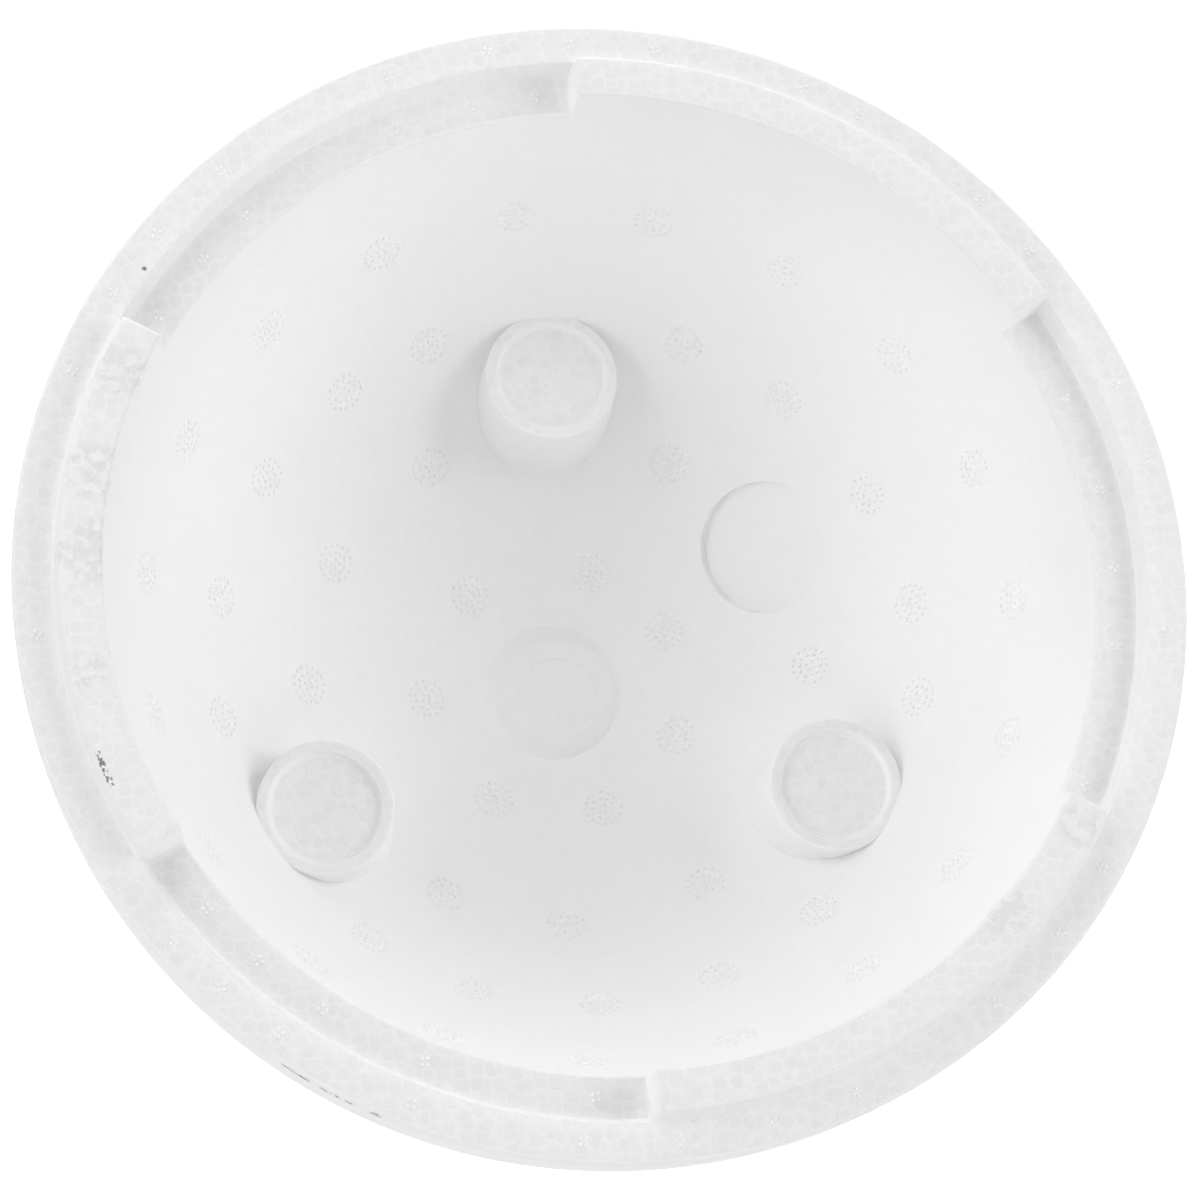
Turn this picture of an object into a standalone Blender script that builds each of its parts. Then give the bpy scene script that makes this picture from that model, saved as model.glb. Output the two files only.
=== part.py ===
"""Half of a hollow two-part foam ball, moulded in one piece and lying with its open side up.

The outside is a plain dome. The rim is a half lap: a flat shoulder runs round the outer edge, and
inside it three tongues stand up and three recesses sink down in turn, so that a second, equal half
turned by one step closes the ball. Inside, three flat-topped bosses and a round gate mark are left
by the mould's core, with a plain round stamp place between two of the bosses.

All heights in the profiles are measured from the shoulder. The ball's frame lifts them, so that the
dome stands on z = 0.
"""
import math

import bmesh
import bpy
from mathutils import Matrix
from mathutils import Vector

# Shell
DOME_RADIUS = 0.150
WALL = 0.0225
REST_FLAT_RADIUS = 0.008
OUTER_EDGE_RADIUS = 0.0008

# Half-lapped rim
SHOULDER_WIDTH = 0.0104
LAP_HEIGHT = 0.0064
LAP_DRAFT = 0.0012
LAP_CLEARANCE = 0.00015
LAP_EDGE_RADIUS = 0.0013
LAP_END_DRAFT = 0.0005
MOUTH_DRAFT = 0.0002
MOUTH_EDGE_RADIUS = 0.0010
LAP_PAIRS = 3
FIRST_RECESS_AZIMUTH = math.radians(90)

# Bosses inside the bowl
BOSS_COUNT = 3
FIRST_BOSS_AZIMUTH = math.radians(90)
BOSS_POLAR_ANGLE = math.radians(39.6)
BOSS_RISE = 0.0173
BOSS_TOP_RADIUS = 0.0182
BOSS_SIDE_DRAFT = math.radians(3)
BOSS_EDGE_RADIUS = 0.0007
DISH_RADIUS = 0.0147
DISH_DEPTH = 0.0012
DISH_CHAMFER = 0.0011

# Gate mark at the bottom of the bowl
GATE_RADIUS = 0.0203
GATE_FLOOR_RADIUS = 0.0182
GATE_DEPTH = 0.0008
GATE_FLOOR_SHIFT = Vector((0.0007, -0.0012, 0))
PLUG_RADIUS = 0.0120
PLUG_CHAMFER = 0.0004

# Plain round stamp place
STAMP_RADIUS = 0.0190
STAMP_DEPTH = 0.0006
STAMP_POLAR_ANGLE = math.radians(34.1)
STAMP_AZIMUTH = math.radians(30)
STAMP_TILT = math.radians(2.5)
STAMP_DRAFT = 0.0002

# Foam's look
FOAM_COLOUR = (0.88, 0.88, 0.88, 1)
FOAM_ROUGHNESS = 0.55

# Fineness of the facets
RING_STEPS = 96
DOME_STEPS = 12
BOWL_STEPS = 14
BOSS_STEPS = 48
ROUND_STEPS = 3
SHARP_ANGLE = math.radians(35)
MERGE_DISTANCE = 1e-6

# Shares of a step by which turned solids are set round, so that no edges of two of them coincide
BODY_PHASE = 0.5
INNER_PHASE = 0.25

# How far the cutting solids run past what they cut
CUT_MARGIN = 0.006
GATE_PIN_OVERLAP = 0.002
DISH_PIN_OVERLAP = 0.001

# A rounded mouth edge stops this far short of a quarter turn and runs straight on through the surface
# that it meets, so that no edge lies exactly in that surface
RUNOUT_ANGLE = math.radians(15)

# Sizes that follow from the ones above
BOWL_RADIUS = DOME_RADIUS - WALL
STEP_RADIUS = DOME_RADIUS - SHOULDER_WIDTH
RIM_HEIGHT = math.sqrt(DOME_RADIUS ** 2 - REST_FLAT_RADIUS ** 2)
FULL_TURN = math.radians(360)
QUARTER_TURN = FULL_TURN / 4
LAP_ANGLE = FULL_TURN / (2 * LAP_PAIRS)


def clear_scene():
    for item in list(bpy.data.objects):
        bpy.data.objects.remove(item, do_unlink=True)


def foam_material():
    material = bpy.data.materials.new("expanded_foam")
    material.use_nodes = True
    shader = material.node_tree.nodes["Principled BSDF"]
    shader.inputs["Base Color"].default_value = FOAM_COLOUR
    shader.inputs["Roughness"].default_value = FOAM_ROUGHNESS
    shader.inputs["Metallic"].default_value = 0.0
    return material


def arc(centre, radius, start, end, steps):
    """Points (r, z) on a round stretch of a profile, both ends included."""
    points = []
    for step in range(steps + 1):
        angle = start + (end - start) * step / steps
        points.append((centre[0] + radius * math.cos(angle), centre[1] + radius * math.sin(angle)))
    return points


def straight_on(point, angle, length):
    """The place that a profile reaches from a point when it goes straight on at an angle."""
    return (point[0] + length * math.cos(angle), point[1] + length * math.sin(angle))


def lap_wall_radius(height):
    """Radius of a tongue's outer wall, which leans inwards as it rises from the shoulder."""
    return STEP_RADIUS - LAP_DRAFT * height / LAP_HEIGHT


def mesh_object(name, bm, frame, helper):
    """Finish a bmesh as an object in the ball's frame; a helper only cuts or fills another piece."""
    bmesh.ops.recalc_face_normals(bm, faces=bm.faces)
    mesh = bpy.data.meshes.new(name)
    bm.to_mesh(mesh)
    bm.free()
    mesh.shade_smooth()
    mesh.set_sharp_from_angle(angle=SHARP_ANGLE)
    item = bpy.data.objects.new(name, mesh)
    bpy.context.collection.objects.link(item)
    item.parent = frame
    if helper:
        item.hide_render = True
        item.display_type = "WIRE"
    return item


def turned(bm, profile, steps, phase):
    """Turn an open profile, whose two ends lie on the axis, into a closed solid."""
    points = [bm.verts.new((radius, 0, height)) for radius, height in profile]
    edges = [bm.edges.new(pair) for pair in zip(points, points[1:])]
    first_step = Matrix.Rotation(phase * FULL_TURN / steps, 3, "Z")
    bmesh.ops.rotate(bm, verts=points, cent=(0, 0, 0), matrix=first_step)
    bmesh.ops.spin(
        bm, geom=points + edges, cent=(0, 0, 0), axis=(0, 0, 1), angle=FULL_TURN, steps=steps, use_merge=True)
    bmesh.ops.remove_doubles(bm, verts=bm.verts, dist=MERGE_DISTANCE)


def turned_at(profile, phase, placement, target):
    """Add a small turned solid to another bmesh, moved there by a matrix."""
    bm = bmesh.new()
    turned(bm, profile, BOSS_STEPS, phase)
    bmesh.ops.transform(bm, matrix=placement, verts=bm.verts)
    mesh = bpy.data.meshes.new("turned_piece")
    bm.to_mesh(mesh)
    bm.free()
    target.from_mesh(mesh)
    bpy.data.meshes.remove(mesh)


def add_boolean(item, other, operation):
    modifier = item.modifiers.new(operation.lower() + "_" + other.name, "BOOLEAN")
    modifier.operation = operation
    modifier.solver = "EXACT"
    modifier.object = other


def blank_profile():
    """The ball's outside with the lapped rim at full tongue height, before anything is taken out."""
    flat_angle = -math.acos(REST_FLAT_RADIUS / DOME_RADIUS)
    edge_angle = -math.asin(OUTER_EDGE_RADIUS / DOME_RADIUS)
    outer_edge_centre = (DOME_RADIUS - OUTER_EDGE_RADIUS, -OUTER_EDGE_RADIUS)
    lap_edge_centre = (lap_wall_radius(LAP_HEIGHT) - LAP_EDGE_RADIUS, LAP_HEIGHT - LAP_EDGE_RADIUS)
    profile = [(0, -RIM_HEIGHT)]
    profile += arc((0, 0), DOME_RADIUS, flat_angle, edge_angle, DOME_STEPS)
    profile += arc(outer_edge_centre, OUTER_EDGE_RADIUS, 0, QUARTER_TURN, ROUND_STEPS)[1:]
    profile.append((STEP_RADIUS, 0))
    profile += arc(lap_edge_centre, LAP_EDGE_RADIUS, 0, QUARTER_TURN, ROUND_STEPS)
    profile.append((0, LAP_HEIGHT))
    return profile


def bowl_profile():
    """The mould's core without its pins: the bowl, and a mouth that rounds the tongues' inner edges."""
    top = LAP_HEIGHT + CUT_MARGIN
    edge_centre = (BOWL_RADIUS + MOUTH_DRAFT + MOUTH_EDGE_RADIUS, LAP_HEIGHT - MOUTH_EDGE_RADIUS)
    edge_end = QUARTER_TURN + RUNOUT_ANGLE
    profile = arc((0, 0), BOWL_RADIUS, -QUARTER_TURN, 0, BOWL_STEPS)
    profile[0] = (0, -BOWL_RADIUS)
    profile += arc(edge_centre, MOUTH_EDGE_RADIUS, 2 * QUARTER_TURN, edge_end, ROUND_STEPS)
    runout = straight_on(profile[-1], RUNOUT_ANGLE, MOUTH_EDGE_RADIUS)
    profile += [runout, (runout[0], top), (0, top)]
    return profile


def boss_top_height():
    """Height of the bosses' flat tops: their rise is measured along their own axis from the bowl."""
    return BOSS_RISE - BOWL_RADIUS * math.cos(BOSS_POLAR_ANGLE)


def boss_profile():
    """A boss from its flat top down past the bowl's surface, wider towards its foot."""
    top = boss_top_height()
    foot = -BOWL_RADIUS - CUT_MARGIN
    foot_radius = BOSS_TOP_RADIUS + (top - foot) * math.tan(BOSS_SIDE_DRAFT)
    edge_centre = (BOSS_TOP_RADIUS - BOSS_EDGE_RADIUS, top - BOSS_EDGE_RADIUS)
    profile = [(0, foot), (foot_radius, foot)]
    profile += arc(edge_centre, BOSS_EDGE_RADIUS, 0, QUARTER_TURN, ROUND_STEPS)
    profile.append((0, top))
    return profile


def dish_pin_profile():
    """The pin that leaves the shallow dish in a boss's top."""
    floor = boss_top_height() - DISH_DEPTH
    head = boss_top_height() + DISH_PIN_OVERLAP
    slope = DISH_CHAMFER / DISH_DEPTH
    return [(0, floor), (DISH_RADIUS, floor), (DISH_RADIUS + slope * (head - floor), head), (0, head)]


def gate_pin_profile():
    """The pin at the pole: a sloping ring wall, a flat floor, and a slightly deeper plug face."""
    ring_height = -math.sqrt(BOWL_RADIUS ** 2 - GATE_RADIUS ** 2)
    floor = -BOWL_RADIUS - GATE_DEPTH
    slope = (GATE_RADIUS - GATE_FLOOR_RADIUS) / (ring_height - floor)
    head = ring_height + GATE_PIN_OVERLAP
    return [
        (0, floor - PLUG_CHAMFER),
        (PLUG_RADIUS, floor - PLUG_CHAMFER),
        (PLUG_RADIUS + PLUG_CHAMFER, floor),
        (GATE_FLOOR_RADIUS, floor),
        (GATE_RADIUS, ring_height),
        (GATE_RADIUS + slope * (head - ring_height), head),
        (0, head),
    ]


def stamp_pin_profile():
    """The round pin of the stamp place, along its own axis with the bowl's centre at height 0."""
    floor = -BOWL_RADIUS - STAMP_DEPTH
    head = floor + CUT_MARGIN
    return [(0, floor), (STAMP_RADIUS - STAMP_DRAFT, floor), (STAMP_RADIUS, head), (0, head)]


def lap_cutter_profile():
    """What a recess takes away: clear of the other half's tongue outside, down to its floor, and
    round the floor's inner edge into the bowl."""
    slope = LAP_DRAFT / LAP_HEIGHT
    wall = STEP_RADIUS + LAP_CLEARANCE
    floor_edge = wall - slope * LAP_HEIGHT
    top = LAP_HEIGHT + CUT_MARGIN
    inside = BOWL_RADIUS - CUT_MARGIN
    edge_height = -LAP_HEIGHT - MOUTH_EDGE_RADIUS
    edge_centre = (math.sqrt(BOWL_RADIUS ** 2 - edge_height ** 2) + MOUTH_EDGE_RADIUS, edge_height)
    edge_start = 2 * QUARTER_TURN - RUNOUT_ANGLE
    edge = arc(edge_centre, MOUTH_EDGE_RADIUS, edge_start, QUARTER_TURN, ROUND_STEPS)
    runout = straight_on(edge[0], edge_start + QUARTER_TURN, MOUTH_EDGE_RADIUS)
    return [(inside, top), (inside, runout[1]), runout] + edge + [
        (floor_edge, -LAP_HEIGHT), (wall + slope * top, top)]


def boss_place(index):
    azimuth = FIRST_BOSS_AZIMUTH + index * FULL_TURN / BOSS_COUNT
    reach = BOWL_RADIUS * math.sin(BOSS_POLAR_ANGLE)
    return Matrix.Translation((reach * math.cos(azimuth), reach * math.sin(azimuth), 0))


def stamp_place():
    """Turn the stamp pin from the pole to its place, leaning so that it bites deeper near the pole."""
    to_azimuth = Matrix.Rotation(STAMP_AZIMUTH, 4, "Z")
    to_polar = Matrix.Rotation(-STAMP_POLAR_ANGLE, 4, "Y")
    to_pole = Matrix.Translation((0, 0, -BOWL_RADIUS))
    lean = Matrix.Rotation(-STAMP_TILT, 4, "Y")
    return to_azimuth @ to_polar @ to_pole @ lean @ to_pole.inverted()


def make_blank(frame):
    bm = bmesh.new()
    turned(bm, blank_profile(), RING_STEPS, BODY_PHASE)
    return mesh_object("half_ball", bm, frame, helper=False)


def make_bosses(frame):
    bm = bmesh.new()
    for index in range(BOSS_COUNT):
        turned_at(boss_profile(), BODY_PHASE, boss_place(index), bm)
    return mesh_object("boss_pockets", bm, frame, helper=True)


def make_dish_pins(frame):
    bm = bmesh.new()
    for index in range(BOSS_COUNT):
        turned_at(dish_pin_profile(), INNER_PHASE, boss_place(index), bm)
    return mesh_object("dish_pins", bm, frame, helper=True)


def make_gate_pin(frame):
    bm = bmesh.new()
    turned(bm, gate_pin_profile(), BOSS_STEPS, BODY_PHASE)
    shifted = [point for point in bm.verts if point.co.z < -BOWL_RADIUS]
    bmesh.ops.translate(bm, verts=shifted, vec=GATE_FLOOR_SHIFT)
    return mesh_object("gate_pin", bm, frame, helper=True)


def make_stamp_pin(frame):
    bm = bmesh.new()
    turned_at(stamp_pin_profile(), BODY_PHASE, stamp_place(), bm)
    return mesh_object("stamp_pin", bm, frame, helper=True)


def make_core(frame):
    """The mould's core, which hollows the ball out."""
    bm = bmesh.new()
    turned(bm, bowl_profile(), RING_STEPS, INNER_PHASE)
    core = mesh_object("core", bm, frame, helper=True)
    add_boolean(core, make_bosses(frame), "DIFFERENCE")
    for pin in (make_dish_pins(frame), make_gate_pin(frame), make_stamp_pin(frame)):
        add_boolean(core, pin, "UNION")
    return core


def make_lap_cutters(frame):
    """One sector-shaped cutter for each recess, its ends leaning so that it narrows downwards."""
    steps = round(RING_STEPS / (2 * LAP_PAIRS))
    bm = bmesh.new()
    for index in range(LAP_PAIRS):
        start = FIRST_RECESS_AZIMUTH + index * 2 * LAP_ANGLE
        sector = bmesh.new()
        corners = [sector.verts.new((radius, 0, height)) for radius, height in lap_cutter_profile()]
        face = sector.faces.new(corners)
        geometry = corners + list(face.edges) + [face]
        bmesh.ops.rotate(sector, verts=corners, cent=(0, 0, 0), matrix=Matrix.Rotation(start, 3, "Z"))
        swept = bmesh.ops.spin(
            sector, geom=geometry, cent=(0, 0, 0), axis=(0, 0, 1), angle=LAP_ANGLE, steps=steps)
        last = [item for item in swept["geom_last"] if isinstance(item, bmesh.types.BMVert)]
        for ring, azimuth, side in ((corners, start, -1), (last, start + LAP_ANGLE, 1)):
            along = Vector((-math.sin(azimuth), math.cos(azimuth), 0)) * side
            for point in ring:
                point.co += along * LAP_END_DRAFT * point.co.z / LAP_HEIGHT
        mesh = bpy.data.meshes.new("lap_sector")
        sector.to_mesh(mesh)
        sector.free()
        bm.from_mesh(mesh)
        bpy.data.meshes.remove(mesh)
    return mesh_object("lap_cutters", bm, frame, helper=True)


def main():
    clear_scene()
    frame = bpy.data.objects.new("ball_frame", None)
    bpy.context.collection.objects.link(frame)
    frame.location = (0, 0, RIM_HEIGHT)
    ball = make_blank(frame)
    add_boolean(ball, make_core(frame), "DIFFERENCE")
    add_boolean(ball, make_lap_cutters(frame), "DIFFERENCE")
    ball.data.materials.append(foam_material())


main()
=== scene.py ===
import math
import random

import bmesh
import bpy
from mathutils import Matrix
from mathutils import Vector


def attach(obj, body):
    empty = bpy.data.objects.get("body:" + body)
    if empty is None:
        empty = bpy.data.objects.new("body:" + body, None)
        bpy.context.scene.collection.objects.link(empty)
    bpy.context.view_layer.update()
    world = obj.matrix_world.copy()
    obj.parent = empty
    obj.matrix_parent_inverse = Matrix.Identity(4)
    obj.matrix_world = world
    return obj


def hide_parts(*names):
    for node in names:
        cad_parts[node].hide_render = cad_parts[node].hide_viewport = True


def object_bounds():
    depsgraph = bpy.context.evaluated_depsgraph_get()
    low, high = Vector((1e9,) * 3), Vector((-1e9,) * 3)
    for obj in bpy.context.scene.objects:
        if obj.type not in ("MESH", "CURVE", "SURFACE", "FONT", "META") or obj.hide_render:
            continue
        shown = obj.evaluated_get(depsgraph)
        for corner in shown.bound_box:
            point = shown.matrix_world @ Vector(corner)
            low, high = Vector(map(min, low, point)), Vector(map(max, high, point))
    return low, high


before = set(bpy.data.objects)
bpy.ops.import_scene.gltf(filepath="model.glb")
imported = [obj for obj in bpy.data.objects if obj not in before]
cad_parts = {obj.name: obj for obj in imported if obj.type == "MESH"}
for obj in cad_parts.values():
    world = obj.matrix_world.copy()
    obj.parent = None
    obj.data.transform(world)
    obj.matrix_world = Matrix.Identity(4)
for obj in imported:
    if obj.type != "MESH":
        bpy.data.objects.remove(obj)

cad_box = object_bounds()

# The shell: one moulding of expanded polystyrene, blown in a steam mould between a hollow half and a
# core. A plain dome outside, a half-lapped rim with three tongues and three recesses, and a bowl with
# the sunken round face of the filling gate at its bottom. It is turned, then the rim is set out.
LAP_HEIGHT = 0.0064
SHOULDER_Z = cad_box[1].z - LAP_HEIGHT
DOME_RADIUS = 0.1499
DOME_FULLNESS = 0.0009
FULLNESS_REACH = math.radians(12)
REST_FLAT_RADIUS = 0.008
OUTER_EDGE_ROUND = 0.0009
STEP_RADIUS = 0.1396
LAP_WALL_DRAFT = 0.0012
BOWL_RADIUS = 0.1275
MOUTH_FLARE = 0.0002
TONGUE_EDGE_ROUND = 0.0013
RECESS_EDGE_ROUND = 0.0004
FOOT_ROUND = 0.0005
MOUTH_EDGE_ROUND = 0.0010
MOUTH_JOIN_DEPTH = 0.020
GATE_RADIUS = 0.0203
GATE_FLOOR_RADIUS = 0.0182
GATE_FLOOR_DEPTH = 0.0008
GATE_SHIFT = Vector((0.0007, -0.0012, 0))
GATE_LIP_ROUND = 0.0004
PLUG_RADIUS = 0.0120
PLUG_DEPTH = 0.0004
END_LEAN = 0.0005
END_TOP_ROUND = 0.0010
END_FOOT_ROUND = 0.0006
END_RADIUS = 0.133
SECTORS = 6
SECTOR_COLUMNS = 96
FIRST_END_AZIMUTH = math.radians(30)
FULL_TURN = math.radians(360)
QUARTER_TURN = math.radians(90)
DOME_STEPS = 38
OUTER_EDGE_STEPS = 4
FLAT_STEPS = 4
WALL_STEPS = 3
FIRST_ROUND_STEPS = 3
SECOND_ROUND_STEPS = 5
MOUTH_STEPS = 9
BOWL_STEPS = 30
GATE_LIP_DROP = 0.3 * GATE_LIP_ROUND
GATE_ROWS_IN_PLACE = 3
MERGE_DISTANCE = 1e-7
SHARP_ANGLE = math.radians(40)


def arc(centre, radius, start, end, steps):
    """Points (r, z) on a round stretch of a profile, both ends included."""
    points = []
    for step in range(steps + 1):
        angle = start + (end - start) * step / steps
        points.append((centre[0] + radius * math.cos(angle), centre[1] + radius * math.sin(angle)))
    return points


def run(start, end, steps):
    """Evenly spaced points between two places of a profile, without the first of them."""
    points = []
    for step in range(1, steps + 1):
        share = step / steps
        points.append((start[0] + (end[0] - start[0]) * share, start[1] + (end[1] - start[1]) * share))
    return points


def smooth_share(value):
    """A soft step from 0 to 1."""
    value = min(max(value, 0), 1)
    return value * value * (3 - 2 * value)


def bowl_point(height):
    """A place on the bowl below the shoulder, or on the flared mouth above it."""
    if height > 0:
        return (BOWL_RADIUS + MOUTH_FLARE * height / LAP_HEIGHT, height)
    return (math.sqrt(BOWL_RADIUS ** 2 - height ** 2), height)


def bowl_run(start_height, end_height, steps):
    """Evenly spaced places down the bowl, without the first of them."""
    drop = end_height - start_height
    return [bowl_point(start_height + drop * step / steps) for step in range(1, steps + 1)]


def dome_rows():
    """From the pole of the rest flat up the outside to the shoulder's outer edge."""
    flat_angle = -math.acos(REST_FLAT_RADIUS / DOME_RADIUS)
    edge_angle = -math.asin(OUTER_EDGE_ROUND / DOME_RADIUS)
    rest_height = -SHOULDER_Z
    rows = [(0, rest_height), (REST_FLAT_RADIUS * 0.6, rest_height)]
    for radius, height in arc((0, 0), DOME_RADIUS, flat_angle, edge_angle, DOME_STEPS):
        angle = -math.atan2(height, radius)
        share = smooth_share(angle / FULLNESS_REACH) * math.cos(angle) ** 2
        swell = 1 + DOME_FULLNESS * share / DOME_RADIUS
        rows.append((min(radius * swell, DOME_RADIUS), max(height * swell, rest_height)))
    edge_centre = (DOME_RADIUS - OUTER_EDGE_ROUND, -OUTER_EDGE_ROUND)
    return rows + arc(edge_centre, OUTER_EDGE_ROUND, 0, QUARTER_TURN, OUTER_EDGE_STEPS)[1:]


def mouth_rows(centre):
    """Round the rim's inner edge and down the bowl to the height where tongues and recesses end."""
    rows = arc(centre, MOUTH_EDGE_ROUND, QUARTER_TURN, 2 * QUARTER_TURN, SECOND_ROUND_STEPS)[1:]
    return rows + bowl_run(centre[1], -MOUTH_JOIN_DEPTH, MOUTH_STEPS)


def tongue_rows():
    """From the shoulder over a tongue and down its mouth side."""
    foot_centre = (STEP_RADIUS + FOOT_ROUND, FOOT_ROUND)
    rows = run((DOME_RADIUS - OUTER_EDGE_ROUND, 0), (foot_centre[0], 0), FLAT_STEPS)
    rows += arc(foot_centre, FOOT_ROUND, -QUARTER_TURN, -2 * QUARTER_TURN, FIRST_ROUND_STEPS)[1:]
    top_wall = STEP_RADIUS - LAP_WALL_DRAFT
    edge_centre = (top_wall - TONGUE_EDGE_ROUND, LAP_HEIGHT - TONGUE_EDGE_ROUND)
    rows += run(rows[-1], (top_wall, edge_centre[1]), WALL_STEPS)
    rows += arc(edge_centre, TONGUE_EDGE_ROUND, 0, QUARTER_TURN, SECOND_ROUND_STEPS)[1:]
    mouth_centre = (BOWL_RADIUS + MOUTH_FLARE + MOUTH_EDGE_ROUND, LAP_HEIGHT - MOUTH_EDGE_ROUND)
    rows += run(rows[-1], (mouth_centre[0], LAP_HEIGHT), FLAT_STEPS)
    return rows + mouth_rows(mouth_centre)


def recess_rows():
    """The same stretch through a recess, point for point."""
    edge_centre = (STEP_RADIUS + RECESS_EDGE_ROUND, -RECESS_EDGE_ROUND)
    rows = run((DOME_RADIUS - OUTER_EDGE_ROUND, 0), (edge_centre[0], 0), FLAT_STEPS)
    rows += arc(edge_centre, RECESS_EDGE_ROUND, QUARTER_TURN, 2 * QUARTER_TURN, FIRST_ROUND_STEPS)[1:]
    foot = STEP_RADIUS - LAP_WALL_DRAFT
    foot_centre = (foot - FOOT_ROUND, FOOT_ROUND - LAP_HEIGHT)
    rows += run(rows[-1], (foot, foot_centre[1]), WALL_STEPS)
    rows += arc(foot_centre, FOOT_ROUND, 0, -QUARTER_TURN, SECOND_ROUND_STEPS)[1:]
    floor_edge = bowl_point(-LAP_HEIGHT)[0]
    mouth_centre = (floor_edge + MOUTH_EDGE_ROUND, -LAP_HEIGHT - MOUTH_EDGE_ROUND)
    rows += run(rows[-1], (mouth_centre[0], -LAP_HEIGHT), FLAT_STEPS)
    return rows + mouth_rows(mouth_centre)


def bowl_rows():
    """From below the rim down the bowl to the edge of the gate's face."""
    start = -math.asin(MOUTH_JOIN_DEPTH / BOWL_RADIUS)
    end = -math.acos((GATE_RADIUS + GATE_LIP_ROUND) / BOWL_RADIUS)
    return arc((0, 0), BOWL_RADIUS, start, end, BOWL_STEPS)[1:]


def gate_rows():
    """The gate's sloping ring wall, its flat floor and the slightly deeper face of the plug."""
    ring_height = bowl_point(-math.sqrt(BOWL_RADIUS ** 2 - GATE_RADIUS ** 2))[1]
    floor = -BOWL_RADIUS - GATE_FLOOR_DEPTH
    lip = (GATE_RADIUS - GATE_LIP_ROUND, ring_height - GATE_LIP_ROUND)
    rows = [(GATE_RADIUS, ring_height - GATE_LIP_DROP), lip]
    rows += run(lip, (GATE_FLOOR_RADIUS + GATE_LIP_ROUND, floor + GATE_LIP_ROUND), 3)
    rows += run(rows[-1], (GATE_FLOOR_RADIUS - GATE_LIP_ROUND, floor), 2)
    rows += run(rows[-1], (PLUG_RADIUS + PLUG_DEPTH, floor), 3)
    rows += run(rows[-1], (PLUG_RADIUS, floor - PLUG_DEPTH), 2)
    return rows + run(rows[-1], (0, floor - PLUG_DEPTH), 4)


def end_columns():
    """Across a lap's end: how far each column lies along the rim, and its share of a tongue's rise."""
    rise = 2 * LAP_HEIGHT
    foot_centre = (-END_LEAN - END_FOOT_ROUND, END_FOOT_ROUND)
    top_centre = (END_LEAN + END_TOP_ROUND, rise - END_TOP_ROUND)
    path = arc(foot_centre, END_FOOT_ROUND, -QUARTER_TURN, 0, 4)
    path += run(path[-1], (END_LEAN, rise - END_TOP_ROUND), 4)
    path += arc(top_centre, END_TOP_ROUND, 2 * QUARTER_TURN, QUARTER_TURN, 5)[1:]
    return [(along / END_RADIUS, height / rise) for along, height in path]


def rim_columns():
    """Azimuth and tongue share of every column round the rim; tongues come first from 30 degrees."""
    ends = end_columns()
    columns = []
    for sector in range(SECTORS):
        centre = FIRST_END_AZIMUTH + sector * FULL_TURN / SECTORS
        rising = sector % 2 == 0
        crossing = ends if rising else [(-along, share) for along, share in reversed(ends)]
        columns += [(centre + along, share) for along, share in crossing]
        next_start = -ends[-1][0] if rising else ends[0][0]
        first = centre + crossing[-1][0]
        last = centre + FULL_TURN / SECTORS + next_start
        plain = SECTOR_COLUMNS - len(crossing)
        level = 1 if rising else 0
        columns += [(first + (last - first) * step / (plain + 1), level) for step in range(1, plain + 1)]
    return columns


def mesh_piece(name, bm):
    mesh = bpy.data.meshes.new(name)
    bm.to_mesh(mesh)
    bm.free()
    piece = bpy.data.objects.new(name, mesh)
    bpy.context.scene.collection.objects.link(piece)
    return piece


def turned(bm, rows, steps):
    """Turn an open profile, whose ends lie on the axis, into a closed skin that knows its rows."""
    row_number = bm.verts.layers.int.new("row")
    points = []
    for number, (radius, height) in enumerate(rows):
        point = bm.verts.new((radius, 0, height))
        point[row_number] = number
        points.append(point)
    edges = [bm.edges.new(pair) for pair in zip(points, points[1:])]
    bmesh.ops.spin(
        bm, geom=points + edges, cent=(0, 0, 0), axis=(0, 0, 1), angle=FULL_TURN, steps=steps, use_merge=True)
    bmesh.ops.remove_doubles(bm, verts=bm.verts, dist=MERGE_DISTANCE)
    bmesh.ops.recalc_face_normals(bm, faces=bm.faces)
    return row_number


columns = rim_columns()
outside = dome_rows()
inside = bowl_rows()
gate = gate_rows()
raised_rows = outside + tongue_rows() + inside + gate
sunken_rows = outside + recess_rows() + inside + gate
first_gate_floor_row = len(raised_rows) - len(gate) + GATE_ROWS_IN_PLACE

shell_mesh = bmesh.new()
row_number = turned(shell_mesh, raised_rows, len(columns))
for point in shell_mesh.verts:
    row = point[row_number]
    raised = Vector(raised_rows[row])
    sunken = Vector(sunken_rows[row])
    if raised.x > 0:
        column = round(math.atan2(point.co.y, point.co.x) / FULL_TURN * len(columns)) % len(columns)
        azimuth, share = columns[column]
        radius, height = sunken.lerp(raised, share)
        point.co = (radius * math.cos(azimuth), radius * math.sin(azimuth), height)
    if row >= first_gate_floor_row:
        point.co += GATE_SHIFT
bmesh.ops.translate(shell_mesh, verts=shell_mesh.verts, vec=(0, 0, SHOULDER_Z))
shell = mesh_piece("foam_shell", shell_mesh)

# The bosses: three round stops that the core's pockets leave in the bowl, part of the same foam. Each
# has a flat top with a shallow round dish, a rounded edge and drafted sides, and grows out of the bowl.
BOSS_COUNT = 3
FIRST_BOSS_AZIMUTH = math.radians(90)
BOSS_AXIS_RADIUS = 0.0812
BOSS_TOP = -0.0809
BOSS_FOOT = -0.118
BOSS_TOP_RADIUS = 0.0187
BOSS_SIDE_DRAFT = math.tan(math.radians(3))
BOSS_EDGE_ROUND = 0.0009
DISH_RADIUS = 0.0146
DISH_SLOPE = 0.0011
DISH_DEPTH = 0.0018
DISH_LIP_ROUND = 0.0003
BOSS_STEPS = 96


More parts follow.
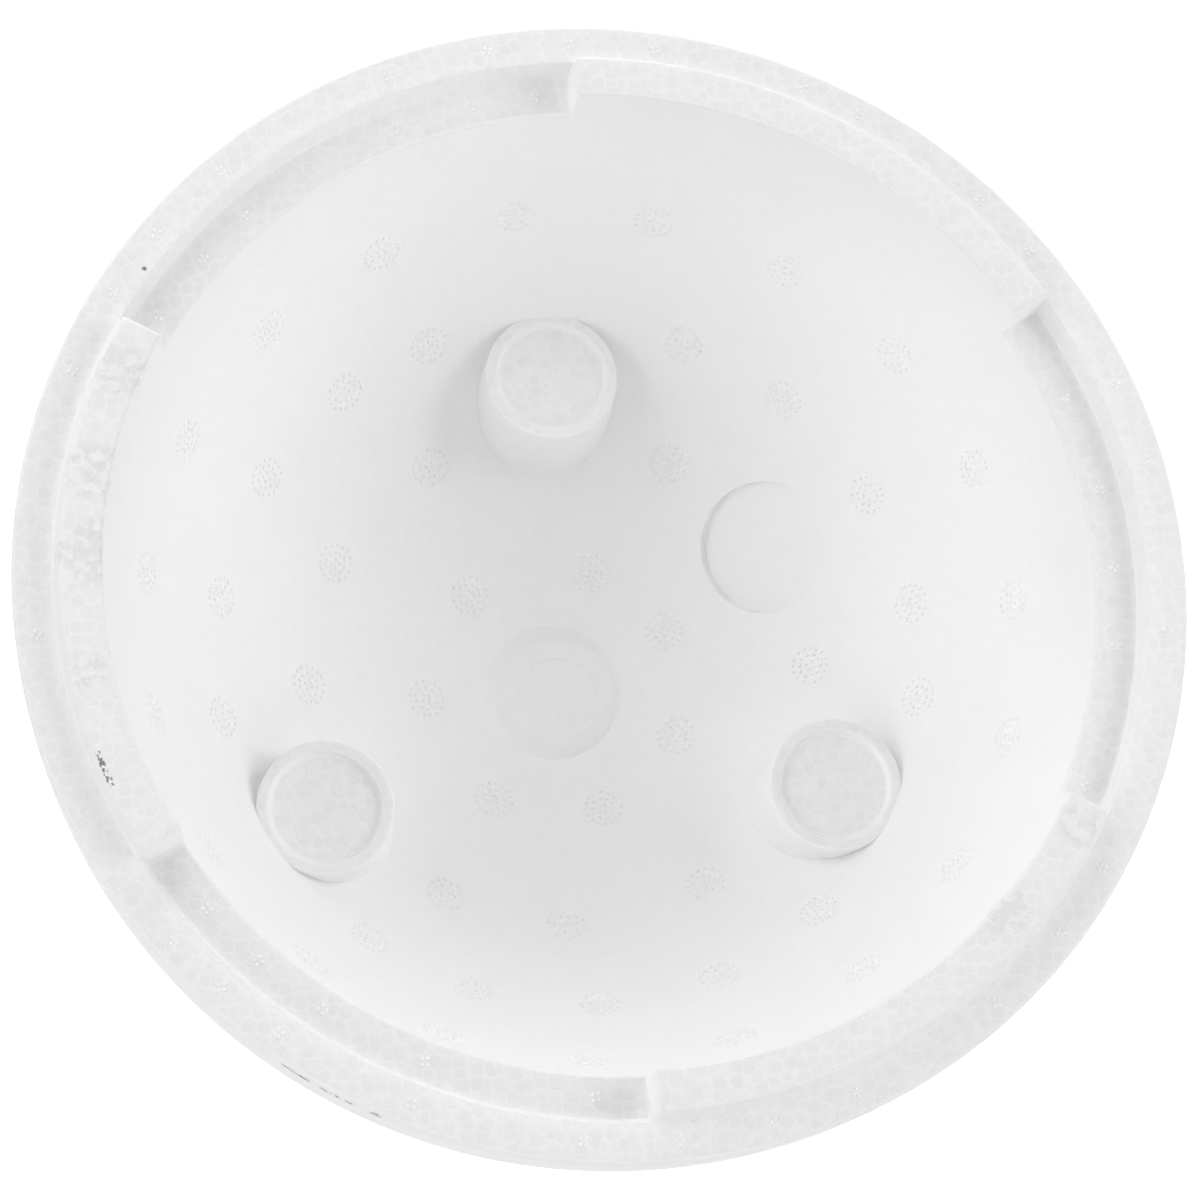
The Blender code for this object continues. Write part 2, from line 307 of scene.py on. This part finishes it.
def boss_rows():
    foot_radius = BOSS_TOP_RADIUS + (BOSS_TOP - BOSS_FOOT) * BOSS_SIDE_DRAFT
    edge_centre = (BOSS_TOP_RADIUS - BOSS_EDGE_ROUND, BOSS_TOP - BOSS_EDGE_ROUND)
    rows = [(0, BOSS_FOOT), (foot_radius, BOSS_FOOT)]
    rows += run(rows[-1], (BOSS_TOP_RADIUS, BOSS_TOP - BOSS_EDGE_ROUND), 8)
    rows += arc(edge_centre, BOSS_EDGE_ROUND, 0, QUARTER_TURN, 5)[1:]
    lip = DISH_RADIUS + DISH_SLOPE
    rows += run(rows[-1], (lip + DISH_LIP_ROUND, BOSS_TOP), 2)
    rows.append((lip - DISH_LIP_ROUND, BOSS_TOP - DISH_LIP_ROUND))
    rows += run(rows[-1], (DISH_RADIUS + DISH_LIP_ROUND, BOSS_TOP - DISH_DEPTH + DISH_LIP_ROUND), 2)
    rows.append((DISH_RADIUS - DISH_LIP_ROUND, BOSS_TOP - DISH_DEPTH))
    return rows + run(rows[-1], (0, BOSS_TOP - DISH_DEPTH), 4)


def move_into(target, bm, place):
    """Add a small mesh, built at the origin, to another one at its place."""
    bmesh.ops.transform(bm, matrix=place, verts=bm.verts)
    mesh = bpy.data.meshes.new("small_part")
    bm.to_mesh(mesh)
    bm.free()
    target.from_mesh(mesh)
    bpy.data.meshes.remove(mesh)


bosses_mesh = bmesh.new()
for index in range(BOSS_COUNT):
    azimuth = FIRST_BOSS_AZIMUTH + index * FULL_TURN / BOSS_COUNT
    single = bmesh.new()
    turned(single, boss_rows(), BOSS_STEPS)
    place = Vector((BOSS_AXIS_RADIUS * math.cos(azimuth), BOSS_AXIS_RADIUS * math.sin(azimuth), SHOULDER_Z))
    move_into(bosses_mesh, single, Matrix.Translation(place))
bosses = mesh_piece("bosses", bosses_mesh)

# The stamp place: a flat round face sunk in the bowl between two bosses, left by a plug set in the
# core. It leans a little, so that its edge is deepest towards the bowl's bottom. Its face is bare.
STAMP_RADIUS = 0.0190
STAMP_DEPTH = 0.0006
STAMP_POLAR = math.radians(34.1)
STAMP_AZIMUTH = math.radians(30)
STAMP_LEAN = math.radians(2.5)
STAMP_DRAFT = 0.0003
STAMP_HEAD = 0.005
to_pole = Matrix.Translation((0, 0, -BOWL_RADIUS))
lean = Matrix.Rotation(-STAMP_LEAN, 4, "Y")
stamp_place = (Matrix.Translation((0, 0, SHOULDER_Z)) @ Matrix.Rotation(STAMP_AZIMUTH, 4, "Z")
               @ Matrix.Rotation(-STAMP_POLAR, 4, "Y") @ to_pole @ lean)
stamp_mesh = bmesh.new()
stamp_rows = [(0, -STAMP_DEPTH)]
stamp_rows += run(stamp_rows[0], (STAMP_RADIUS - STAMP_DRAFT, -STAMP_DEPTH), 5)
stamp_rows.append((STAMP_RADIUS, STAMP_DRAFT - STAMP_DEPTH))
stamp_rows += [(STAMP_RADIUS + STAMP_DRAFT, STAMP_HEAD), (0, STAMP_HEAD)]
turned(stamp_mesh, stamp_rows, BOSS_STEPS)
bmesh.ops.transform(stamp_mesh, matrix=stamp_place, verts=stamp_mesh.verts)
stamp_pin = mesh_piece("stamp_pin", stamp_mesh)

for operation, other in (("UNION", bosses), ("DIFFERENCE", stamp_pin)):
    joint = shell.modifiers.new(other.name, "BOOLEAN")
    joint.operation = operation
    joint.solver = "EXACT"
    joint.object = other
evaluated = shell.evaluated_get(bpy.context.evaluated_depsgraph_get())
whole = bpy.data.meshes.new_from_object(evaluated)
shell.modifiers.clear()
shell.data = whole
for helper in (bosses, stamp_pin):
    bpy.data.objects.remove(helper)
whole.shade_smooth()
whole.set_sharp_from_angle(angle=SHARP_ANGLE)

# The foam's skin: beads of white polystyrene, pressed flat against the mould and fused. The joints
# between the beads are paler than their middles, and a few corners stay open as small pits. Wear has
# left torn patches on the tongues, a dark line on one of them and a few dark chips at the outer edge.
BOWL_COLOUR = (0.930, 0.930, 0.930, 1)
# Painted shade: the rim's flat faces and the bosses' tops are the same foam as the bowl but get darker
# colours, and the rim's rounded edges and walls get a colour halfway.
RIM_FACE_PAINTED_SHADE = (0.836, 0.836, 0.836, 1)
BOSS_TOP_PAINTED_SHADE = (0.905, 0.905, 0.905, 1)
OUTSIDE_COLOUR = (0.850, 0.850, 0.850, 1)
JOINT_COLOUR = (0.945, 0.945, 0.945, 1)
SHADE_COLOUR = (0.72, 0.72, 0.72, 1)
DIRT_COLOUR = (0.10, 0.07, 0.05, 1)
BEAD_SIZE = 0.0034
BEAD_STRAY = 0.75
SEAM = (0.01, 0.07)
CORNER = (0.46, 0.54)
CORNER_PALENESS = 0.45
BEAD_DISC = (0.44, 0.52)
TONE_PAST_DISC = 0.3
INNER_RING = (0.05, 0.09)
OUTER_RING = (0.09, 0.16)
RING_TONE = 0.4
SWELL_WIDTH = 0.20
PIT = (0.66, 0.74)
OPEN_CORNER_SHARE = 0.5
BOWL_PATTERN = 0.22
TONE_SHADE = 0.22
JOINT_PALENESS = 0.33
PIT_SHADE = 0.15
PIT_DEPTH = 3.0
SKIN_ROUGHNESS = 0.55
SKIN_GLOSS = 0.25
GRAIN_SCALE = 1100
GRAIN_DEPTH = 0.5
BUMP_STRENGTH = 0.5
BUMP_DISTANCE = 0.00012
# Painted light: a paler band on the faces either side of the rim's step. It is a painted glow of the light
# that the step's walls bounce and the foam lets through, and it also lightens the shade at the step.
PAINTED_GLOW_COLOUR = (0.89, 0.89, 0.89, 1)
PAINTED_GLOW_RADIUS = 0.1400
PAINTED_GLOW_CORE = 0.0008
PAINTED_GLOW_WIDTH = 0.0045
PAINTED_GLOW_SHARE = 0.7
MARK_CORE = 0.55
TEAR_SCALE = 420
TEAR_EDGE = (0.46, 0.60)
TEAR_SHADE = 0.55
TEAR_DEPTH = 2.5
TORN_PATCHES = (
    (0.1325, 156, LAP_HEIGHT, 0.009),
    (0.1315, 168, LAP_HEIGHT, 0.010),
    (0.1318, 177, LAP_HEIGHT, 0.011),
    (0.1340, 190, LAP_HEIGHT, 0.006),
    (0.1335, 326.7, LAP_HEIGHT, 0.007),
    (0.1303, 313.7, LAP_HEIGHT, 0.008),
)
GRIT_SCALE = 1000
GRIT_EDGE = (0.44, 0.50)
DIRT_SHADE = 0.8
DIRT_SPOTS = (
    (0.1375, 198.7, LAP_HEIGHT, 0.0009),
    (0.1375, 199.3, LAP_HEIGHT, 0.0010),
    (0.1375, 199.9, LAP_HEIGHT, 0.0012),
    (0.1375, 200.5, LAP_HEIGHT, 0.0010),
    (0.1375, 201.1, LAP_HEIGHT, 0.0012),
    (0.1375, 201.7, LAP_HEIGHT, 0.0011),
    (0.1375, 202.3, LAP_HEIGHT, 0.0008),
    (0.1372, 208.1, 0, 0.0022),
    (0.1416, 143.8, 0, 0.0008),
    (0.1500, 233.8, -0.0024, 0.0015),
    (0.1500, 234.7, -0.0026, 0.0020),
    (0.1500, 235.8, -0.0028, 0.0021),
    (0.1500, 238.0, -0.0030, 0.0017),
    (0.1500, 239.1, -0.0030, 0.0018),
    (0.1500, 240.5, -0.0028, 0.0014),
    (0.1500, 243.2, -0.0022, 0.0020),
)
BOSS_ZONE = 2.0
RIM_ZONE = 1.0
EDGE_ZONE = 0.5
OUTSIDE_ZONE = -1.0
FLAT_NORMAL = 0.985
FLAT_LOWEST = -0.09
EDGE_NORMAL = 0.15
EDGE_LOWEST = -1.2 * LAP_HEIGHT
OUTSIDE_NEAREST = STEP_RADIUS + 0.005
OUTSIDE_HIGHEST = -LAP_HEIGHT / 8


def add_node(tree, kind, **settings):
    node = tree.nodes.new("ShaderNode" + kind)
    for name, value in settings.items():
        setattr(node, name, value)
    return node


def feed(tree, socket, value):
    """Connect a socket to another one, or set it to a plain value."""
    if isinstance(value, bpy.types.NodeSocket):
        tree.links.new(value, socket)
    else:
        socket.default_value = value


def reckon(tree, operation, *values):
    node = add_node(tree, "Math", operation=operation)
    for socket, value in zip(node.inputs, values):
        feed(tree, socket, value)
    return node.outputs[0]


def vector_reckon(tree, operation, *values):
    node = add_node(tree, "VectorMath", operation=operation)
    for socket, value in zip(node.inputs, values):
        feed(tree, socket, value)
    return node.outputs["Value" if operation == "DISTANCE" else "Vector"]


def ramp(tree, value, low, high, start=0.0, end=1.0):
    """A soft step from start to end while the value goes from low to high."""
    node = add_node(tree, "MapRange", interpolation_type="SMOOTHSTEP")
    settings = {"Value": value, "From Min": low, "From Max": high, "To Min": start, "To Max": end}
    for name, setting in settings.items():
        feed(tree, node.inputs[name], setting)
    return node.outputs["Result"]


def mix_colour(tree, share, first, second):
    node = add_node(tree, "Mix", data_type="RGBA")
    feed(tree, node.inputs["Factor"], share)
    feed(tree, node.inputs[6], first)
    feed(tree, node.inputs[7], second)
    return node.outputs[2]


def noise(tree, place, scale, detail):
    node = add_node(tree, "TexNoise")
    feed(tree, node.inputs["Vector"], place)
    feed(tree, node.inputs["Scale"], scale)
    feed(tree, node.inputs["Detail"], detail)
    return node.outputs["Fac"]


def new_group(name, inputs, outputs):
    group = bpy.data.node_groups.new(name, "ShaderNodeTree")
    for socket_name, kind in inputs:
        group.interface.new_socket(socket_name, in_out="INPUT", socket_type=kind)
    for socket_name in outputs:
        group.interface.new_socket(socket_name, in_out="OUTPUT", socket_type="NodeSocketFloat")
    return group, group.nodes.new("NodeGroupInput").outputs, group.nodes.new("NodeGroupOutput").inputs


def bead_group():
    """Fused beads: the pale joints between them, each bead's own tone, its swell and the open corners."""
    group, given, result = new_group(
        "fused_beads", (("Place", "NodeSocketVector"), ("Bead Size", "NodeSocketFloat")),
        ("Joint", "Tone", "Swell", "Pit"))
    scale = reckon(group, "DIVIDE", 1.0, given["Bead Size"])
    cells = []
    for feature in ("F1", "DISTANCE_TO_EDGE"):
        cell = add_node(group, "TexVoronoi", feature=feature)
        feed(group, cell.inputs["Vector"], given["Place"])
        feed(group, cell.inputs["Scale"], scale)
        cell.inputs["Randomness"].default_value = BEAD_STRAY
        cells.append(cell)
    middle, edge = cells
    away = middle.outputs["Distance"]
    border = edge.outputs["Distance"]
    channels = add_node(group, "SeparateColor")
    feed(group, channels.inputs["Color"], middle.outputs["Color"])
    seam = ramp(group, border, *SEAM, 1.0, 0.0)
    corner = ramp(group, away, *CORNER, 0.0, CORNER_PALENESS)
    ring = ramp(group, border, *INNER_RING)
    ring = reckon(group, "MULTIPLY", ring, ramp(group, border, *OUTER_RING, 1.0, 0.0))
    disc = ramp(group, away, *BEAD_DISC, 1.0, TONE_PAST_DISC)
    tone = reckon(group, "MULTIPLY", channels.outputs["Red"], disc)
    tone = reckon(group, "ADD", tone, reckon(group, "MULTIPLY", ring, RING_TONE))
    open_corner = reckon(group, "GREATER_THAN", channels.outputs["Green"], OPEN_CORNER_SHARE)
    feed(group, result["Joint"], reckon(group, "MAXIMUM", seam, corner))
    feed(group, result["Tone"], tone)
    feed(group, result["Swell"], ramp(group, border, 0.0, SWELL_WIDTH))
    feed(group, result["Pit"], reckon(group, "MULTIPLY", ramp(group, away, *PIT), open_corner))
    return group


def mark_group():
    """A soft round mark of a given radius at a given place on the piece."""
    inputs = (("Place", "NodeSocketVector"), ("Centre", "NodeSocketVector"), ("Radius", "NodeSocketFloat"))
    group, given, result = new_group("mark", inputs, ("Mask",))
    away = vector_reckon(group, "DISTANCE", given["Place"], given["Centre"])
    share = reckon(group, "DIVIDE", away, given["Radius"])
    feed(group, result["Mask"], ramp(group, share, MARK_CORE, 1.0, 1.0, 0.0))
    return group


def rim_place(radius, azimuth, height):
    """A place on the rim, with its azimuth in degrees and its height from the shoulder."""
    angle = math.radians(azimuth)
    return (radius * math.cos(angle), radius * math.sin(angle), SHOULDER_Z + height)


def marks(tree, place, group, spots):
    """The strongest of several marks at each place."""
    strongest = 0.0
    for radius, azimuth, height, size in spots:
        mark = add_node(tree, "Group", node_tree=group)
        feed(tree, mark.inputs["Place"], place)
        mark.inputs["Centre"].default_value = rim_place(radius, azimuth, height)
        mark.inputs["Radius"].default_value = size
        strongest = reckon(tree, "MAXIMUM", strongest, mark.outputs["Mask"])
    return strongest


def foam_skin():
    """White foam whose bead pattern and painted shade follow the zone that each face is marked with, with a
    painted glow along the rim's step.
    """
    material = bpy.data.materials.new("white_foam")
    material.use_nodes = True
    tree = material.node_tree
    shader = tree.nodes["Principled BSDF"]
    shader.inputs["Roughness"].default_value = SKIN_ROUGHNESS
    shader.inputs["Specular IOR Level"].default_value = SKIN_GLOSS
    place = add_node(tree, "TexCoord").outputs["Object"]
    flat = add_node(tree, "Attribute", attribute_name="flat_face").outputs["Fac"]
    level = vector_reckon(tree, "MULTIPLY", place, (1, 1, 0))
    level = vector_reckon(tree, "ADD", level, (0, 0, BEAD_SIZE / 2))
    pick = add_node(tree, "Mix", data_type="VECTOR")
    feed(tree, pick.inputs["Factor"], flat)
    feed(tree, pick.inputs[4], place)
    feed(tree, pick.inputs[5], level)
    beads = add_node(tree, "Group", node_tree=bead_group())
    feed(tree, beads.inputs["Place"], pick.outputs[1])
    beads.inputs["Bead Size"].default_value = BEAD_SIZE
    strength = ramp(tree, flat, 0.0, 1.0, BOWL_PATTERN, 1.0)

    # Painted glow: the colour turns paler within a few millimetres of the rim's step.
    across = vector_reckon(tree, "DISTANCE", vector_reckon(tree, "MULTIPLY", place, (1, 1, 0)), (0, 0, 0))
    from_step = reckon(tree, "ABSOLUTE", reckon(tree, "SUBTRACT", across, PAINTED_GLOW_RADIUS))
    painted_glow = ramp(tree, from_step, PAINTED_GLOW_CORE, PAINTED_GLOW_WIDTH, PAINTED_GLOW_SHARE, 0.0)
    # Painted shade by zone: the flat faces and the boss tops are darker than the bowl, and the rim's rounded
    # edges are halfway.
    colour = mix_colour(tree, flat, BOWL_COLOUR, RIM_FACE_PAINTED_SHADE)
    colour = mix_colour(tree, reckon(tree, "SUBTRACT", flat, 1.0), colour, BOSS_TOP_PAINTED_SHADE)
    colour = mix_colour(tree, reckon(tree, "MULTIPLY", flat, -1.0), colour, OUTSIDE_COLOUR)
    colour = mix_colour(tree, painted_glow, colour, PAINTED_GLOW_COLOUR)
    shade = reckon(tree, "MULTIPLY", reckon(tree, "MULTIPLY", beads.outputs["Tone"], TONE_SHADE), strength)
    colour = mix_colour(tree, shade, colour, SHADE_COLOUR)
    joint_strength = reckon(tree, "MULTIPLY", strength, JOINT_PALENESS)
    joint = reckon(tree, "MULTIPLY", beads.outputs["Joint"], joint_strength)
    colour = mix_colour(tree, joint, colour, JOINT_COLOUR)
    # Painted shade: the open corners between beads are painted darker, as the shade inside these small holes.
    # The same mask also sinks them in the bump.
    pit = reckon(tree, "MULTIPLY", beads.outputs["Pit"], reckon(tree, "MULTIPLY", strength, PIT_SHADE))
    colour = mix_colour(tree, pit, colour, SHADE_COLOUR)

    mark = mark_group()
    torn = marks(tree, place, mark, TORN_PATCHES)
    rough = ramp(tree, noise(tree, place, TEAR_SCALE, 3), *TEAR_EDGE)
    torn = reckon(tree, "MULTIPLY", torn, rough)
    colour = mix_colour(tree, reckon(tree, "MULTIPLY", torn, TEAR_SHADE), colour, SHADE_COLOUR)

    dirt = marks(tree, place, mark, DIRT_SPOTS)
    grit = ramp(tree, noise(tree, place, GRIT_SCALE, 2), *GRIT_EDGE)
    dirt = reckon(tree, "MULTIPLY", dirt, grit)
    colour = mix_colour(tree, reckon(tree, "MULTIPLY", dirt, DIRT_SHADE), colour, DIRT_COLOUR)
    feed(tree, shader.inputs["Base Color"], colour)

    grain = reckon(tree, "MULTIPLY", noise(tree, place, GRAIN_SCALE, 3), GRAIN_DEPTH)
    height = reckon(tree, "ADD", reckon(tree, "MULTIPLY", beads.outputs["Swell"], strength), grain)
    height = reckon(tree, "SUBTRACT", height, reckon(tree, "MULTIPLY", pit, PIT_DEPTH))
    height = reckon(tree, "SUBTRACT", height, reckon(tree, "MULTIPLY", torn, TEAR_DEPTH))
    bump = add_node(tree, "Bump")
    bump.inputs["Strength"].default_value = BUMP_STRENGTH
    bump.inputs["Distance"].default_value = BUMP_DISTANCE
    feed(tree, bump.inputs["Height"], height)
    feed(tree, shader.inputs["Normal"], bump.outputs["Normal"])
    return material


foam = foam_skin()
whole_centre = Vector((0, 0, SHOULDER_Z))
# Each face's zone sets the strength of the bead pattern and the painted shade of its colour.
flat_face = whole.attributes.new("flat_face", "FLOAT", "FACE")
for face in whole.polygons:
    if face.normal.z > FLAT_NORMAL and face.center.z > SHOULDER_Z + FLAT_LOWEST:
        on_boss = face.center.z < SHOULDER_Z + BOSS_TOP / 2
        flat_face.data[face.index].value = BOSS_ZONE if on_boss else RIM_ZONE
        continue
    from_centre = (face.center - whole_centre).length
    if from_centre > OUTSIDE_NEAREST and face.center.z < SHOULDER_Z + OUTSIDE_HIGHEST:
        flat_face.data[face.index].value = OUTSIDE_ZONE
    elif face.normal.z > EDGE_NORMAL and face.center.z > SHOULDER_Z + EDGE_LOWEST:
        flat_face.data[face.index].value = EDGE_ZONE
whole.materials.clear()
whole.materials.append(foam)
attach(shell, "root")
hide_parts("half_ball")

# The core vents: round plugs with small holes in the mould's core let the steam through, and the foam
# rises a little into each hole. They leave rings of round patches of about thirty nubs in the bowl.
NUB_RADIUS = 0.00066
NUB_RISE = 0.00034
NUB_RINGS = ((4, 0.00125), (10, 0.00315), (16, 0.00515))
NUB_STRAY = 0.00016
NUB_SIZES = (0.86, 1.1)
NUB_SEGMENTS = 8
NUB_BANDS = 4
RING_TURN = 0.4
VENT_RINGS = (
    (16.9, (69, 26.5, 336.2, 287.7, 237.8, 181.4, 127.7)),
    (34.1, (0, 60, 117.8, 150.3, 179.8, 238.8, 266.6, 299.9)),
    (50.0, (
        6.4, 26.3, 47.6, 66.7, 110.4, 126.7, 146.5, 168.3, 188.3, 231.7, 249.7, 270.2, 289.8, 309.4, 350.3)),
    (67.0, tuple(95.5 + 18.95 * step for step in range(19))),
)
stray = random.Random(7)


def add_nub(bm, place, radius, rise):
    """A low round nub, its lower half sunk in the surface that it stands on."""
    flatten = Matrix.Diagonal((1, 1, rise / radius, 1))
    bmesh.ops.create_uvsphere(
        bm, u_segments=NUB_SEGMENTS, v_segments=NUB_BANDS, radius=radius, matrix=place @ flatten)


def on_bowl(polar, azimuth):
    """Places a thing that is built upright at the origin on the bowl's skin, turned to its normal."""
    turn = Matrix.Rotation(azimuth, 4, "Z") @ Matrix.Rotation(-polar, 4, "Y")
    return Matrix.Translation((0, 0, SHOULDER_Z)) @ turn @ Matrix.Translation((0, 0, -BOWL_RADIUS))


nub_mesh = bmesh.new()
for polar, azimuths in VENT_RINGS:
    for azimuth in azimuths:
        vent = bmesh.new()
        start = stray.uniform(0, FULL_TURN)
        for count, ring_radius in NUB_RINGS:
            start += RING_TURN
            for step in range(count):
                angle = start + step * FULL_TURN / count
                x = ring_radius * math.cos(angle) + stray.uniform(-NUB_STRAY, NUB_STRAY)
                y = ring_radius * math.sin(angle) + stray.uniform(-NUB_STRAY, NUB_STRAY)
                sink = (x * x + y * y) / (2 * BOWL_RADIUS)
                size = NUB_RADIUS * stray.uniform(*NUB_SIZES)
                add_nub(vent, Matrix.Translation((x, y, sink)), size, NUB_RISE)
        move_into(nub_mesh, vent, on_bowl(math.radians(polar), math.radians(azimuth)))
core_vents = mesh_piece("core_vent_nubs", nub_mesh)
core_vents.data.shade_smooth()
core_vents.data.materials.append(foam)
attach(core_vents, "root")

# The pin vents: small four-hole vents in the faces of the mould that form the rim. Each leaves four
# small nubs in a square, one vent about every 22 mm along the shoulder and the recess floors.
PIN_RADIUS = 0.00054
PIN_RISE = 0.00030
PIN_HALF_SPACING = 0.00075
SHOULDER_VENT_RADIUS = 0.1446
SHOULDER_VENTS = (
    98.9, 90.1, 81.1, 64.7, 58.6, 42.7, 35.2, 18.3, 9.6, 351.2, 324.9, 316.8, 307.1, 290.2, 281.5, 272.1,
    262.8, 245.9, 231.6, 224.6, 218.2, 184.8, 157.0, 147.7, 140.0, 130.4, 109.8)
FLOOR_VENT_RADIUS = 0.1330
FLOOR_VENTS = (
    94.2, 101.7, 111, 131, 138.1, 146.6, 217.6, 225.3, 233.8, 245.8, 264.2, 19.5, 8, 358.8, 349.7, 332.8)
pin_mesh = bmesh.new()
for azimuths, ring_radius, height in (
        (SHOULDER_VENTS, SHOULDER_VENT_RADIUS, 0),
        (FLOOR_VENTS, FLOOR_VENT_RADIUS, -LAP_HEIGHT)):
    for azimuth in azimuths:
        angle = math.radians(azimuth)
        centre = Vector((ring_radius * math.cos(angle), ring_radius * math.sin(angle), SHOULDER_Z + height))
        vent = bmesh.new()
        for x in (-PIN_HALF_SPACING, PIN_HALF_SPACING):
            for y in (-PIN_HALF_SPACING, PIN_HALF_SPACING):
                add_nub(vent, Matrix.Translation((x, y, 0)), PIN_RADIUS, PIN_RISE)
        turn = Matrix.Rotation(stray.uniform(0, FULL_TURN), 4, "Z")
        move_into(pin_mesh, vent, Matrix.Translation(centre) @ turn)
pin_vents = mesh_piece("pin_vent_nubs", pin_mesh)
pin_vents.data.shade_smooth()
pin_vents.data.materials.append(foam)
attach(pin_vents, "root")

# The studio: a white table in a white room, which the camera sees as plain white with the half ball's
# faint shadow, and twelve soft boxes all round. Their strengths were fitted to the light that falls on
# the bowl and the rim in the photograph.
TABLE_SIZE = 6.0
TABLE_COLOUR = (0.85, 0.85, 0.85, 1)
TABLE_ROUGHNESS = 0.9
TABLE_GLOW = 0.5
WHITE = (1, 1, 1, 1)
table_mesh = bmesh.new()
bmesh.ops.create_grid(table_mesh, x_segments=2, y_segments=2, size=TABLE_SIZE)
table = mesh_piece("table", table_mesh)


def seen_directly(tree):
    """One for rays from the camera, and for those seen in a shiny or clear thing."""
    rays = add_node(tree, "LightPath")
    seen = reckon(tree, "MAXIMUM", rays.outputs["Is Camera Ray"], rays.outputs["Is Glossy Ray"])
    return reckon(tree, "MAXIMUM", seen, rays.outputs["Is Transmission Ray"])


white_table = bpy.data.materials.new("white_table")
white_table.use_nodes = True
tree = white_table.node_tree
top = tree.nodes["Principled BSDF"]
top.inputs["Base Color"].default_value = TABLE_COLOUR
top.inputs["Roughness"].default_value = TABLE_ROUGHNESS
top.inputs["Emission Color"].default_value = WHITE
feed(tree, top.inputs["Emission Strength"], reckon(tree, "MULTIPLY", seen_directly(tree), TABLE_GLOW))
table.data.materials.append(white_table)

room = bpy.data.worlds.new("white_room")
room.use_nodes = True
bpy.context.scene.world = room
tree = room.node_tree
tree.nodes["Background"].inputs["Color"].default_value = WHITE
feed(tree, tree.nodes["Background"].inputs["Strength"], seen_directly(tree))

LIGHT_TARGET = Vector((0, 0, 0.12))
LIGHT_DISTANCE = 1.5
SOFT_BOX_SIZE = 0.9
SOFT_BOXES = (
    ("right_low", 28, 348, 4.75),
    ("right_high", 40, 12, 6.9),
    ("back_low", 12, 90, 10.6),
    ("back_high", 60, 90, 2.7),
    ("left_back_low", 28, 150, 3.4),
    ("left_back_high", 40, 150, 3.4),
    ("left_high", 40, 180, 2.2),
    ("left_front_low", 28, 210, 5.1),
    ("front_left", 35, 240, 1.45),
    ("front_low", 12, 270, 5.0),
    ("front_right", 35, 300, 2.9),
    ("overhead", 85, 180, 1.85),
)
for name, elevation, azimuth, watts in SOFT_BOXES:
    lamp = bpy.data.lights.new(name, "AREA")
    lamp.size = SOFT_BOX_SIZE
    lamp.energy = watts
    rise = Matrix.Rotation(-math.radians(elevation), 3, "Y")
    away = Matrix.Rotation(math.radians(azimuth), 3, "Z") @ rise @ Vector((1, 0, 0))
    facing = away.to_track_quat("Z", "Y").to_matrix().to_4x4()
    item = bpy.data.objects.new(name, lamp)
    item.matrix_world = Matrix.Translation(LIGHT_TARGET + away * LIGHT_DISTANCE) @ facing
    bpy.context.scene.collection.objects.link(item)

# The camera looks down into the bowl, as in the photograph. Its place, its direction and its lens were
# fitted to the rim, the bowl, the bosses and the rings of vent marks as they lie in the picture.
CAMERA_PLACE = Vector((-0.127426, -0.234149, 0.941604))
VIEW_DIRECTION = Vector((0.148352, 0.271150, -0.951036))
VIEW_UP = Vector((0.035912, 0.959566, 0.279184))
SENSOR_WIDTH = 36
LENS_LENGTH = 99.13
view_right = VIEW_DIRECTION.cross(VIEW_UP)
view_turn = Matrix((view_right, VIEW_UP, -VIEW_DIRECTION)).transposed()
camera = bpy.data.cameras.new("camera")
camera.sensor_width = SENSOR_WIDTH
camera.lens = LENS_LENGTH
camera_item = bpy.data.objects.new("camera", camera)
camera_item.matrix_world = Matrix.Translation(CAMERA_PLACE) @ view_turn.to_4x4()
bpy.context.scene.collection.objects.link(camera_item)
bpy.context.scene.camera = camera_item
bpy.context.scene.view_settings.view_transform = "Standard"
